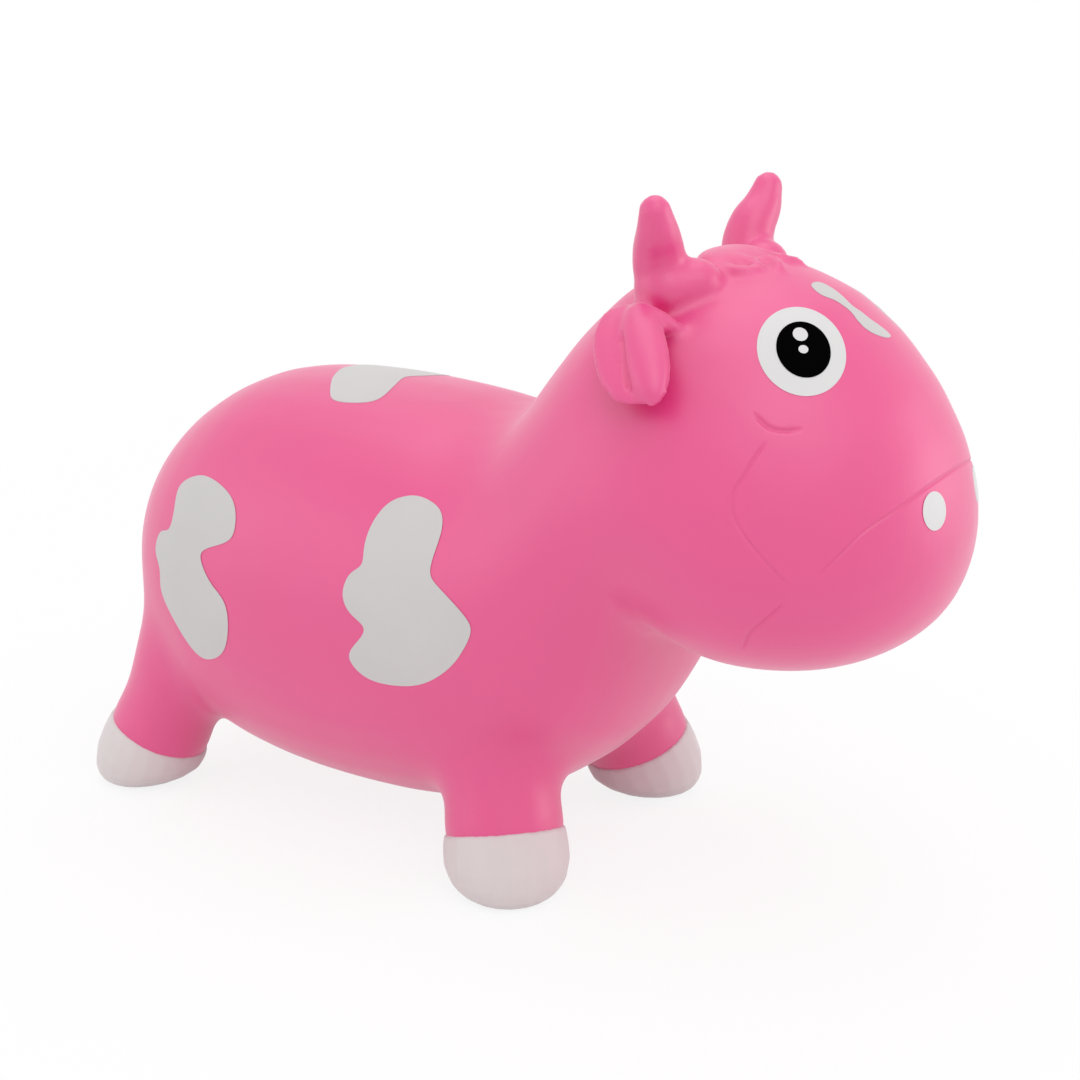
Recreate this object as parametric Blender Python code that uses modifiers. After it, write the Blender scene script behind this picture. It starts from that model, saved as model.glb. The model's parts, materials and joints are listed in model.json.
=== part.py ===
# Bouncy ride-on cow: an air-filled skin of soft PVC, moulded in one go and split here at its natural bends.
# Metres, +X to the nose, +Y to the cow's left, +Z up. The origin is on the floor, under the middle of the toy.
import math

import bmesh
import bpy
from mathutils import Matrix, Vector

# Skin
WALL = 0.003                 # thickness of the moulded skin
GAP = 0.0003                 # clearance between neighbouring pieces
PAINT = 0.0006               # thickness of a painted mark
MARK_REACH = 0.045           # how far the outline of a mark is pushed through the skin, each way
TRIM_DEPTH = 0.060           # thickness of the slabs that trim the skin's lengths
SWING_GAP = 0.0006           # clearance round a piece that turns

# Torso, from the rump to the middle of the neck
TORSO_LENGTH = 0.348
TORSO_HEIGHT = 0.278
TORSO_WIDTH = 0.268
BELLY_CLEARANCE = 0.020      # from the floor to the lowest point of the belly

# Head, from the middle of the neck to the nose
HEAD_LENGTH = 0.215
HEAD_HEIGHT = 0.233
HEAD_WIDTH = 0.256

# Legs and hooves
WHEELBASE = 0.324            # between the front and the rear soles
FRONT_FOOT_BACK = 0.007      # front soles, behind the middle of the neck
FRONT_FOOT_INSET = 0.038     # from the torso's side to the middle of a front sole
REAR_FOOT_INSET = 0.046
FRONT_TRACK = TORSO_WIDTH - 2 * FRONT_FOOT_INSET
REAR_TRACK = TORSO_WIDTH - 2 * REAR_FOOT_INSET
FRONT_LEG_RADIUS = 0.0380
REAR_LEG_RADIUS = 0.0355
LEG_LENGTH = 0.140           # along the floor's normal, up into the torso
HOOF_HEIGHT = 0.036
HOOF_STEP = 0.0018           # how far the hoof stands out from the leg
SOLE_WALL = 0.005

# Horns
HORN_ROOT_RADIUS = 0.0155    # at the end that leaves the head
HORN_ELBOW_RADIUS = 0.0165   # at the bend
HORN_ROOT_SINK = 0.006       # how deep the root's end lies under the head's surface
HORN_ELBOW_LIFT = 0.003      # how high the bend stands over it
HORN_HEIGHT = 0.055          # from the bend to the tip
HORN_RADIUS = 0.0157

# Ears
EAR_LENGTH = 0.060
EAR_WIDTH = 0.041
EAR_THICKNESS = 0.015
EAR_ROOT_RADIUS = 0.0075
EAR_ROOT_LENGTH = 0.028
EAR_DROP = 0.007             # from the root's place on the head down to the hinge
EAR_LIFT = 0.005             # from the head's surface out to the hinge
EAR_CLEARANCE = 0.0012       # between the inside of the ear and the head

# Painted marks and hair
EYE_SIZE = 0.057
PUPIL_SIZE = 0.034
LARGE_GLINT_SIZE = 0.0090
SMALL_GLINT_SIZE = 0.0056
NOSTRIL_SIZE = 0.020
FLANK_PATCH_SIZE = 0.116
HAUNCH_PATCH_SIZE = 0.120
BACK_PATCH_SIZE = 0.100
FOREHEAD_PATCH_SIZE = 0.052
HAIR_WIDTH = 0.078
HAIR_THICKNESS = 0.0055

# Air valve
VALVE_FLANGE_RADIUS = 0.0140
VALVE_FLANGE_THICKNESS = 0.0022
VALVE_RECESS = 0.0012        # how deep the flange is let into the skin
VALVE_SLEEVE_RADIUS = 0.0090
VALVE_SLEEVE_LENGTH = 0.0120
VALVE_BORE_RADIUS = 0.0050
PLUG_HEAD_RADIUS = 0.0080
PLUG_HEAD_THICKNESS = 0.0018
PLUG_SHANK_RADIUS = 0.0046
PLUG_SHANK_LENGTH = 0.0100

# Shape of the trunk
# Each torso row: distance back from the neck, height of the spine, tilt in degrees, reach up, reach down,
# half width, narrowing of the top. Distances are shares of TORSO_LENGTH, heights of TORSO_HEIGHT, widths of
# TORSO_WIDTH and the narrowing a share of the half width.
torso_row_shares = (
    (1.000, 0.545, 0, 0.000, 0.000, 0.000, 0.00),
    (0.955, 0.530, -2, 0.237, 0.237, 0.246, 0.00),
    (0.865, 0.510, -3, 0.385, 0.363, 0.377, 0.00),
    (0.735, 0.493, -2, 0.485, 0.440, 0.455, 0.00),
    (0.580, 0.486, 0, 0.515, 0.475, 0.490, 0.00),
    (0.405, 0.489, 1, 0.511, 0.489, 0.500, 0.00),
    (0.235, 0.504, 5, 0.482, 0.486, 0.500, 0.02),
    (0.110, 0.550, 13, 0.428, 0.456, 0.493, 0.04),
    (0.000, 0.647, 20, 0.367, 0.410, 0.478, 0.06),
)
# Each head row: distance forward from the neck, height above the neck, tilt, reach up, reach down, half width,
# narrowing, as shares of the head's length, height and width.
head_row_shares = (
    (0.140, 0.150, 21, 0.445, 0.410, 0.492, 0.08),
    (0.276, 0.280, 12, 0.500, 0.402, 0.496, 0.13),
    (0.421, 0.300, 0, 0.556, 0.436, 0.500, 0.18),
    (0.570, 0.243, -16, 0.564, 0.412, 0.492, 0.20),
    (0.720, 0.155, -29, 0.488, 0.370, 0.457, 0.20),
    (0.846, 0.058, -41, 0.364, 0.301, 0.383, 0.16),
    (0.944, -0.017, -47, 0.210, 0.198, 0.256, 0.08),
    (1.000, -0.060, -50, 0.000, 0.000, 0.000, 0.00),
)
corner_share = 0.93          # 1 makes each section an ellipse, less makes it squarer
ring_points = 32
steps_per_row = 2
shortest_step = 0.1          # between two rings, in rows
probe_step = 0.02            # for measuring directions on the skin, in rows and in radians
sharp_angle = math.radians(40)
neck_row = len(torso_row_shares) - 1
neck_back_row = neck_row - 0.25
neck_front_row = neck_row + 0.5
trim_rows = 0.5


def clear_scene():
    for old in list(bpy.data.objects):
        bpy.data.objects.remove(old)
    for old in list(bpy.data.meshes):
        bpy.data.meshes.remove(old)


clear_scene()
parts_collection = bpy.data.collections.new("bouncy_ride_on_cow")
cutters_collection = bpy.data.collections.new("cutters")
for new_collection in (parts_collection, cutters_collection):
    bpy.context.scene.collection.children.link(new_collection)


def own_material(name, colour, roughness=0.42):
    new = bpy.data.materials.new(name + "_finish")
    new.use_nodes = True
    shader = new.node_tree.nodes["Principled BSDF"]
    shader.inputs["Base Color"].default_value = (*colour, 1.0)
    shader.inputs["Roughness"].default_value = roughness
    shader.inputs["Metallic"].default_value = 0.0
    return new


PINK = (0.83, 0.12, 0.31)
PALE_GREY = (0.68, 0.66, 0.65)
HOOF_WHITE = (0.74, 0.70, 0.69)
WHITE = (0.80, 0.80, 0.79)
BLACK = (0.012, 0.012, 0.012)


def add_object(name, mesh, colour, collection=parts_collection):
    """An object for a finished mesh, in its collection and with its own material."""
    made = bpy.data.objects.new(name, mesh)
    collection.objects.link(made)
    if collection is cutters_collection:
        made.hide_render = True
        made.display_type = "WIRE"
    else:
        mesh.materials.append(own_material(name, colour))
        mesh.shade_smooth()
        mesh.set_sharp_from_angle(angle=sharp_angle)
    return made


def loft(name, rings, start, end, colour=PINK, collection=parts_collection, grow=0.0):
    """A skin over rings of points. Each end is open, flat or a pole given as a point."""
    bm = bmesh.new()
    layers = []
    for points in rings:
        layers.append([bm.verts.new(point) for point in points])
    count = len(layers[0])
    for below, above in zip(layers, layers[1:]):
        for i in range(count):
            j = (i + 1) % count
            bm.faces.new((below[i], below[j], above[j], above[i]))
    if start == "flat":
        bm.faces.new(list(reversed(layers[0])))
    elif start != "open":
        tip = bm.verts.new(start)
        for i in range(count):
            bm.faces.new((tip, layers[0][(i + 1) % count], layers[0][i]))
    if end == "flat":
        bm.faces.new(layers[-1])
    elif end != "open":
        tip = bm.verts.new(end)
        for i in range(count):
            bm.faces.new((tip, layers[-1][i], layers[-1][(i + 1) % count]))
    bm.normal_update()
    if grow:
        moved = [(vert, vert.co + vert.normal * grow) for vert in bm.verts]
        for vert, place in moved:
            vert.co = place
    mesh = bpy.data.meshes.new(name)
    bm.to_mesh(mesh)
    bm.free()
    return add_object(name, mesh, colour, collection)


def add_wall(thing, thickness=WALL):
    """Gives an open skin its wall, inwards."""
    wall = thing.modifiers.new("wall", "SOLIDIFY")
    wall.thickness = thickness
    wall.offset = -1.0
    wall.use_even_offset = True
    return thing


def cut(thing, cutter, operation="DIFFERENCE"):
    boolean = thing.modifiers.new(operation.lower(), "BOOLEAN")
    boolean.object = cutter
    boolean.operation = operation
    boolean.solver = "EXACT"
    return thing


# Trunk surface
def smooth_step(before, here, after, beyond, share):
    """Catmull-Rom value between here and after."""
    return 0.5 * (
        2 * here
        + (after - before) * share
        + (2 * before - 5 * here + 4 * after - beyond) * share ** 2
        + (3 * here - before - 3 * after + beyond) * share ** 3
    )


def spine_rows():
    """All rows in metres: x from the neck, z, tilt, narrowing, and the squares of the three reaches."""
    rows = []
    for back, height, tilt, up, down, half, narrowing in torso_row_shares:
        rows.append((
            -back * TORSO_LENGTH,
            BELLY_CLEARANCE + height * TORSO_HEIGHT,
            tilt,
            narrowing,
            (up * TORSO_HEIGHT) ** 2,
            (down * TORSO_HEIGHT) ** 2,
            (half * TORSO_WIDTH) ** 2,
        ))
    neck_height = rows[-1][1]
    for ahead, height, tilt, up, down, half, narrowing in head_row_shares:
        rows.append((
            ahead * HEAD_LENGTH,
            neck_height + height * HEAD_HEIGHT,
            tilt,
            narrowing,
            (up * HEAD_HEIGHT) ** 2,
            (down * HEAD_HEIGHT) ** 2,
            (half * HEAD_WIDTH) ** 2,
        ))
    return rows


rows = spine_rows()
last_row = len(rows) - 1


def station(row):
    """The trunk's section at any place between its rows: x, z, tilt, narrowing, up, down, half width."""
    index = min(int(row), last_row - 1)
    share = row - index
    here, after = rows[index], rows[index + 1]
    before = rows[index - 1] if index > 0 else [2 * a - b for a, b in zip(here, after)]
    beyond = rows[index + 2] if index + 2 <= last_row else [2 * b - a for a, b in zip(here, after)]
    values = [smooth_step(*four, share) for four in zip(before, here, after, beyond)]
    return values[:4] + [math.sqrt(max(square, 0.0)) for square in values[4:]]


def section_point(section, angle):
    """A point of a section. Angle 0 is the cow's left and a quarter turn is the back."""
    x, z, tilt, narrowing, up, down, half = section
    lean = math.radians(tilt)
    side = math.copysign(abs(math.cos(angle)) ** corner_share, math.cos(angle)) * half
    rise = math.copysign(abs(math.sin(angle)) ** corner_share, math.sin(angle))
    side *= 1 - narrowing * max(rise, 0.0)
    rise *= up if rise > 0 else down
    return Vector((frame_shift + x - rise * math.sin(lean), side, z + rise * math.cos(lean)))


def trunk_ring(row):
    section = station(row)
    return [section_point(section, 2 * math.pi * i / ring_points) for i in range(ring_points)]


def ring_rows(first, last):
    """Places of the rings between two rows, closer together towards the two ends of the spine."""
    places = [first]
    for index in range(int(first), last_row):
        steps = steps_per_row + 1 if index in (0, last_row - 1) else steps_per_row
        for step in range(steps):
            share = step / steps
            if index == 0:
                share = share ** 2
            elif index == last_row - 1:
                share = 1 - (1 - share) ** 2
            place = index + share
            if first + shortest_step < place < last - shortest_step and 0 < place < last_row:
                places.append(place)
    places.append(last)
    return places


def spine_end(row):
    x, z = station(row)[:2]
    return Vector((frame_shift + x, 0.0, z))


def surface_point(row, angle):
    return section_point(station(row), angle)


def surface_normal(row, angle):
    """Outward normal of the trunk at a row and an angle."""
    along = surface_point(row + probe_step, angle) - surface_point(row - probe_step, angle)
    around = surface_point(row, angle + probe_step) - surface_point(row, angle - probe_step)
    return around.cross(along).normalized()


# Shape of the legs
# Each row: height as a share of LEG_LENGTH, radius as a share of the leg's radius.
leg_row_shares = ((0.26, 1.00), (0.35, 0.96), (0.44, 0.96), (0.55, 1.02), (0.66, 1.10), (0.78, 1.20), (1.0, 1.30))
# Each row: height as a share of HOOF_HEIGHT, radius as a share of the hoof's radius, tilt as a share of the leg's.
hoof_row_shares = (
    (0.00, 0.56, 0.0), (0.045, 0.70, 0.0), (0.13, 0.83, 0.1), (0.28, 0.94, 0.25), (0.50, 1.00, 0.5),
    (0.75, 0.995, 0.8), (1.00, 0.965, 1.0),
)
leg_points = 20
front_lean_share = (-0.27, -0.28)   # per unit of height: to the nose, outwards
rear_lean_share = (0.42, -0.20)


def leg_ring(foot, lean, height, radius, tilt_share, side):
    """A round section of a leg, square to the leg's line at tilt_share 1 and level at 0."""
    axis = Vector((lean[0] * tilt_share, side * lean[1] * tilt_share, 1.0)).normalized()
    centre = foot + Vector((lean[0], side * lean[1], 1.0)) * height
    along = Vector((1.0, 0.0, 0.0))
    along = (along - axis * along.dot(axis)).normalized()
    across = axis.cross(along)
    points = []
    for i in range(leg_points):
        angle = 2 * math.pi * i / leg_points
        points.append(centre + (along * math.cos(angle) + across * math.sin(angle)) * radius)
    return points


def hoof_rings(foot, radius, lean, side):
    rings = []
    for height, width, tilt in hoof_row_shares:
        rings.append(leg_ring(foot, lean, height * HOOF_HEIGHT, width * (radius + HOOF_STEP), tilt, side))
    return rings


# The toy's middle in X, from the nose and the heels
frame_shift = 0.0
front_x = -FRONT_FOOT_BACK
rear_x = front_x - WHEELBASE
nose_reach = max(point.x for row in ring_rows(neck_row, last_row)[:-1] for point in trunk_ring(row))
heel_rings = hoof_rings(Vector((rear_x, 0.0, 0.0)), REAR_LEG_RADIUS, rear_lean_share, 1)
heel_reach = min(point.x for ring in heel_rings for point in ring)
frame_shift = -(nose_reach + heel_reach) / 2


def trim_slab(name, row, ahead):
    """A slab that cuts the trunk off square to its spine, ahead of a row or behind it."""
    x, z, tilt = station(row)[:3]
    lean = math.radians(tilt)
    forward = Vector((math.cos(lean), 0.0, math.sin(lean))) * (1 if ahead else -1)
    middle = Vector((frame_shift + x, 0.0, z)) + forward * (TRIM_DEPTH - GAP) / 2
    bm = bmesh.new()
    bmesh.ops.create_cube(bm, size=1.0)
    bm.transform(Matrix.Diagonal((TRIM_DEPTH, 2 * TORSO_WIDTH, 2 * TORSO_HEIGHT, 1.0)))
    bm.transform(Matrix.Translation(middle) @ Matrix.Rotation(-lean, 4, "Y"))
    mesh = bpy.data.meshes.new(name)
    bm.to_mesh(mesh)
    bm.free()
    return add_object(name, mesh, PINK, cutters_collection)


def trunk_skin(name, first, last):
    """One length of the trunk's skin, made longer than it is and trimmed where it meets a neighbour."""
    places = ring_rows(max(first - trim_rows, 0), min(last + trim_rows, last_row))
    start = end = "open"
    if first == 0:
        places = places[1:]
        start = spine_end(0)
    if last == last_row:
        places = places[:-1]
        end = spine_end(last_row)
    skin = add_wall(loft(name, [trunk_ring(place) for place in places], start, end))
    if first != 0:
        cut(skin, trim_slab(name + "_rear_trim", first, ahead=False))
    if last != last_row:
        cut(skin, trim_slab(name + "_front_trim", last, ahead=True))
    return skin


def trunk_solid(name, grow):
    """The whole trunk as one solid, grown along its normals, to cut what sits on it."""
    places = ring_rows(0, last_row)[1:-1]
    rings = [trunk_ring(place) for place in places]
    return loft(name, rings, spine_end(0), spine_end(last_row), collection=cutters_collection, grow=grow)


torso_shell = trunk_skin("torso_shell", 0, neck_back_row)
neck_shell = trunk_skin("neck_shell", neck_back_row, neck_front_row)
head_shell = trunk_skin("head_shell", neck_front_row, last_row)
trunk_cutter = trunk_solid("trunk_cutter", GAP)

# Legs and hooves
def build_leg(place, x, track, radius, lean, side):
    foot = Vector((frame_shift + x, side * track / 2, 0.0))
    add_wall(loft("hoof_" + place, hoof_rings(foot, radius, lean, side), "flat", "open", HOOF_WHITE), SOLE_WALL)
    leg_rings = []
    bore_rings = []
    for height, width in leg_row_shares:
        lift = height * LEG_LENGTH if height > leg_row_shares[0][0] else HOOF_HEIGHT + GAP
        leg_rings.append(leg_ring(foot, lean, lift, width * radius, 1.0, side))
        bore_rings.append(leg_ring(foot, lean, lift, width * radius - WALL, 1.0, side))
    leg = add_wall(loft("leg_" + place, leg_rings, "open", "open"))
    cut(leg, trunk_cutter)
    cut(torso_shell, loft("bore_" + place, bore_rings, "flat", "flat", collection=cutters_collection))


# Horns and ears
round_points = 20
dome_steps = 3
horn_root_place = (10.95, 110)      # row and angle on the head, for the right side
horn_elbow_place = (10.65, 117)
ear_place = (10.70, 131)
ear_hang_share = (0.24, -0.78, -0.58)   # the way the right ear hangs
ear_hinge_share = (-0.96, -0.28, 0.0)
# Each row: height from the bend, distance forward and distance outwards as shares of HORN_HEIGHT, and radius as a
# share of HORN_RADIUS.
horn_row_shares = (
    (0.00, 0.00, 0.00, 0.95), (0.20, 0.02, 0.04, 1.00), (0.42, 0.04, 0.09, 0.92), (0.66, 0.06, 0.17, 0.74),
    (0.85, 0.08, 0.23, 0.57), (0.94, 0.09, 0.26, 0.40), (0.98, 0.10, 0.27, 0.22), (1.00, 0.10, 0.275, 0.00),
)
# Each row: distance from the hinge, width, thickness and depth of the fold, as shares of the ear's sizes.
ear_row_shares = (
    (0.00, 0.52, 0.72, 0.0), (0.20, 0.74, 0.90, 0.2), (0.40, 0.95, 1.00, 0.5), (0.60, 1.00, 1.00, 0.6),
    (0.78, 0.88, 0.86, 0.6), (0.90, 0.64, 0.64, 0.4), (0.97, 0.36, 0.38, 0.2), (1.00, 0.00, 0.00, 0.0),
)
ear_fold_share = 0.2                # the fold's place across the ear, towards its back edge
ear_fold_width_share = 0.35


def place_on_side(row, angle, side):
    """A row and an angle in radians for the right side, or their mirror for the left."""
    return row, math.radians(angle if side < 0 else 180 - angle)


def to_side(right, side):
    """A direction given for the right side, mirrored for the left."""
    return Vector((right[0], -side * right[1], right[2])).normalized()


def circle(centre, axis, radius):
    along = axis.orthogonal().normalized()
    across = axis.cross(along)
    points = []
    for i in range(round_points):
        angle = 2 * math.pi * i / round_points
        points.append(centre + (along * math.cos(angle) + across * math.sin(angle)) * radius)
    return points


def domed_bar(name, start, end, start_radius, end_radius, collection=parts_collection, grow=0.0):
    """A round bar with domed ends."""
    axis = (end - start).normalized()
    rings = []
    for step in range(dome_steps - 1, -1, -1):
        turn = math.pi / 2 * step / dome_steps
        rings.append(circle(start - axis * start_radius * math.sin(turn), axis, start_radius * math.cos(turn)))
    for step in range(dome_steps):
        turn = math.pi / 2 * step / dome_steps
        rings.append(circle(end + axis * end_radius * math.sin(turn), axis, end_radius * math.cos(turn)))
    first_pole = start - axis * start_radius
    last_pole = end + axis * end_radius
    return loft(name, rings, first_pole, last_pole, collection=collection, grow=grow)


def set_origin(thing, place):
    """Puts a moving piece's origin on its joint."""
    thing.data.transform(Matrix.Translation(-place))
    thing.matrix_world = Matrix.Translation(place)
    return thing


def build_horn(side_name, side):
    root_place = place_on_side(*horn_root_place, side)
    elbow_place = place_on_side(*horn_elbow_place, side)
    inner = surface_point(*root_place) - surface_normal(*root_place) * HORN_ROOT_SINK
    elbow = surface_point(*elbow_place) + surface_normal(*elbow_place) * HORN_ELBOW_LIFT
    root = domed_bar("horn_root_" + side_name, inner, elbow, HORN_ROOT_RADIUS, HORN_ELBOW_RADIUS)
    cut(root, trunk_cutter)
    name = "horn_" + side_name + "_seat"
    seat = domed_bar(name, inner, elbow, HORN_ROOT_RADIUS, HORN_ELBOW_RADIUS, cutters_collection, SWING_GAP)
    up = Vector((0.0, 0.0, 1.0))
    centres = [elbow + Vector((ahead, side * out, height)) * HORN_HEIGHT for height, ahead, out, _ in horn_row_shares]
    rings = [circle(centre, up, row[-1] * HORN_RADIUS) for centre, row in zip(centres[:-1], horn_row_shares)]
    horn = cut(loft("horn_" + side_name, rings, "flat", centres[-1]), seat)
    return set_origin(horn, elbow), seat


def ear_ring(centre, hinge, face, width, thickness, fold, side):
    """A bean-shaped section of the ear, folded on its outer face."""
    points = []
    for i in range(round_points):
        angle = 2 * math.pi * i / round_points
        across = math.sin(angle)
        out = math.cos(angle)
        if out > 0:
            out *= 1 - fold * max(0.0, 1 - abs(across - ear_fold_share) / ear_fold_width_share)
        points.append(centre + hinge * across * width / 2 + face * out * thickness / 2)
    if side > 0:
        points.reverse()
    return points


def build_ear(side_name, side, horn_seat):
    place = place_on_side(*ear_place, side)
    hinge = to_side(ear_hinge_share, side)
    down = to_side(ear_hang_share, side)
    down = (down - hinge * down.dot(hinge)).normalized()
    face = hinge.cross(down) * -side
    pivot = surface_point(*place) + surface_normal(*place) * EAR_LIFT + down * EAR_DROP
    ends = [pivot - hinge * EAR_ROOT_LENGTH / 2, pivot + hinge * EAR_ROOT_LENGTH / 2]
    root = domed_bar("ear_root_" + side_name, *ends, EAR_ROOT_RADIUS, EAR_ROOT_RADIUS)
    cut(root, trunk_cutter)
    cut(root, horn_seat)
    name = "ear_" + side_name + "_seat"
    seat = domed_bar(name, *ends, EAR_ROOT_RADIUS, EAR_ROOT_RADIUS, cutters_collection, SWING_GAP)
    rings = []
    for reach, width, thickness, fold in ear_row_shares[:-1]:
        centre = pivot + down * reach * EAR_LENGTH
        rings.append(ear_ring(centre, hinge, face, width * EAR_WIDTH, thickness * EAR_THICKNESS, fold, side))
    ear = loft("ear_" + side_name, rings, "flat", pivot + down * EAR_LENGTH)
    cut(ear, seat)
    cut(ear, ear_clearance)
    return set_origin(ear, pivot)


# Marks that are painted on the skin, and the hair, which is moulded on it
# Outlines are shares of the mark's size: along the spine towards the nose, and round the trunk.
eye_share = (
    (-0.31, -0.28), (-0.46, -0.01), (-0.43, 0.31), (-0.33, 0.44), (-0.15, 0.55), (0.09, 0.49), (0.30, 0.35),
    (0.45, 0.08), (0.43, -0.19), (0.30, -0.36), (0.08, -0.44), (-0.16, -0.39),
)
pupil_share = (
    (-0.36, -0.24), (-0.50, 0.14), (-0.39, 0.40), (-0.17, 0.52), (0.16, 0.44), (0.33, 0.29), (0.47, -0.11),
    (0.38, -0.36), (0.16, -0.48), (-0.11, -0.45),
)
glint_share = ((-0.40, 0.00), (-0.28, 0.35), (0.00, 0.50), (0.28, 0.35), (0.40, 0.00), (0.28, -0.35), (0.00, -0.50),
               (-0.28, -0.35))
nostril_share = (
    (-0.18, -0.45), (-0.50, -0.06), (-0.48, 0.22), (-0.21, 0.45), (0.19, 0.48), (0.51, 0.16), (0.55, -0.18),
    (0.30, -0.42),
)
flank_share = (
    (0.01, 0.50), (-0.13, 0.47), (-0.22, 0.37), (-0.26, 0.25), (-0.27, 0.15), (-0.35, 0.10), (-0.41, 0.00),
    (-0.38, -0.10), (-0.28, -0.20), (-0.42, -0.30), (-0.42, -0.38), (-0.33, -0.46), (-0.16, -0.50), (0.01, -0.49),
    (0.20, -0.41), (0.33, -0.30), (0.37, -0.22), (0.34, -0.14), (0.24, -0.03), (0.16, 0.06), (0.18, 0.16),
    (0.22, 0.29), (0.20, 0.40), (0.10, 0.47),
)
haunch_share = (
    (-0.16, 0.47), (-0.31, 0.38), (-0.28, 0.24), (-0.29, 0.13), (-0.39, 0.11), (-0.43, -0.01), (-0.35, -0.10),
    (-0.34, -0.23), (-0.20, -0.38), (-0.08, -0.50), (0.05, -0.53), (0.21, -0.45), (0.27, -0.31), (0.25, -0.16),
    (0.14, -0.08), (0.06, 0.01), (0.04, 0.09), (0.23, 0.18), (0.26, 0.26), (0.22, 0.36), (0.13, 0.43), (-0.02, 0.47),
)
back_share = (
    (-0.42, 0.40), (-0.38, 0.17), (-0.22, -0.07), (-0.15, -0.20), (-0.08, -0.26), (0.10, -0.25), (0.23, -0.17),
    (0.23, -0.02), (0.12, 0.24), (0.19, 0.35), (0.24, 0.52), (0.22, 0.66), (0.08, 0.74), (-0.12, 0.70), (-0.26, 0.60),
    (-0.40, 0.54),
)
forehead_share = (
    (-0.50, 0.00), (-0.29, -0.09), (-0.11, -0.01), (0.12, -0.05), (0.34, 0.01), (0.46, 0.18), (0.44, 0.40),
    (0.28, 0.55), (0.06, 0.50), (-0.14, 0.54), (-0.34, 0.44), (-0.48, 0.22),
)
hair_share = (
    (-0.02, -0.50), (0.14, -0.46), (0.20, -0.36), (0.12, -0.27), (0.24, -0.20), (0.26, -0.10), (0.16, -0.04),
    (0.26, 0.06), (0.25, 0.17), (0.14, 0.24), (0.21, 0.34), (0.15, 0.45), (-0.02, 0.50), (-0.16, 0.36),
    (-0.20, 0.12), (-0.20, -0.12), (-0.16, -0.36),
)
curve_steps = 2


def closed_curve(points):
    """A smooth closed line through the points, counter-clockwise."""
    line = []
    count = len(points)
    for i in range(count):
        four = [points[(i + step) % count] for step in (-1, 0, 1, 2)]
        for step in range(curve_steps):
            share = step / curve_steps
            line.append(tuple(smooth_step(*values, share) for values in zip(*four)))
    area = sum(a[0] * b[1] - b[0] * a[1] for a, b in zip(line, line[1:] + line[:1]))
    return line if area > 0 else line[::-1]


def mark_prism(name, row, angle, outline_share, size, side, grow=0.0):
    """A prism of an outline, pushed through the skin square to it."""
    centre = surface_point(*place_on_side(row, angle, side))
    normal = surface_normal(*place_on_side(row, angle, side))
    along = surface_point(*place_on_side(row + probe_step, angle, side)) - centre
    along = (along - normal * along.dot(normal)).normalized()
    around = normal.cross(along)
    outline = closed_curve([(ahead, -side * turned) for ahead, turned in outline_share])
    rings = []
    for reach in (-MARK_REACH, MARK_REACH):
        middle = centre + normal * reach
        rings.append([middle + (along * ahead + around * turned) * size for ahead, turned in outline])
    return loft(name + "_outline", rings, "flat", "flat", collection=cutters_collection, grow=grow)


def add_mark(name, row, angle, outline_share, size, colour, side, sheet):
    """One mark: its outline, kept where it passes through a sheet that lies on the skin."""
    mark = mark_prism(name, row, angle, outline_share, size, side)
    thing = add_object(name, mark.data, colour)
    cut(thing, sheet, "INTERSECT")
    return cut(thing, trunk_cutter)


def build_eye(side_name, side):
    white = (12.14, 123.2, eye_share, EYE_SIZE)
    pupil = (12.15, 122.0, pupil_share, PUPIL_SIZE)
    large_glint = (12.04, 118.7, glint_share, LARGE_GLINT_SIZE)
    small_glint = (12.15, 122.5, glint_share, SMALL_GLINT_SIZE)
    eye_white = add_mark("eye_white_" + side_name, *white, WHITE, side, paint_sheet)
    cut(eye_white, mark_prism("eye_hole_" + side_name, *pupil, side, GAP))
    eye_pupil = add_mark("eye_pupil_" + side_name, *pupil, BLACK, side, paint_sheet)
    for size_name, glint in (("large", large_glint), ("small", small_glint)):
        cut(eye_pupil, mark_prism("glint_hole_" + size_name + "_" + side_name, *glint, side, GAP))
        add_mark("eye_glint_" + size_name + "_" + side_name, *glint, WHITE, side, paint_sheet)


paint_sheet = trunk_solid("paint_sheet", GAP + PAINT)
hair_sheet = trunk_solid("hair_sheet", GAP + HAIR_THICKNESS)
ear_clearance = trunk_solid("ear_clearance", EAR_CLEARANCE)
hair = add_mark("hair_tuft", 11.15, 90, hair_share, HAIR_WIDTH, PINK, -1, hair_sheet)
add_mark("patch_back", 4.65, 100, back_share, BACK_PATCH_SIZE, PALE_GREY, -1, paint_sheet)
add_mark("patch_forehead", 12.20, 97.2, forehead_share, FOREHEAD_PATCH_SIZE, PALE_GREY, -1, paint_sheet)
nostril = (13.99, 112, nostril_share, NOSTRIL_SIZE, WHITE)
flank_patch = (6.61, 165.2, flank_share, FLANK_PATCH_SIZE, PALE_GREY)
haunch_patch = (3.46, 168.6, haunch_share, HAUNCH_PATCH_SIZE, PALE_GREY)

for side_name, side in (("right", -1), ("left", 1)):
    build_leg("front_" + side_name, front_x, FRONT_TRACK, FRONT_LEG_RADIUS, front_lean_share, side)
    build_leg("rear_" + side_name, rear_x, REAR_TRACK, REAR_LEG_RADIUS, rear_lean_share, side)
    horn, horn_seat = build_horn(side_name, side)
    cut(hair, horn_seat)
    build_ear(side_name, side, horn_seat)
    build_eye(side_name, side)
    add_mark("nostril_" + side_name, *nostril, side, paint_sheet)
    add_mark("patch_flank_" + side_name, *flank_patch, side, paint_sheet)
    add_mark("patch_haunch_" + side_name, *haunch_patch, side, paint_sheet)

# Air valve, low on the rump
valve_place = (0.40, math.radians(270))
valve_out = surface_normal(*valve_place)
valve_face = surface_point(*valve_place)


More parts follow.
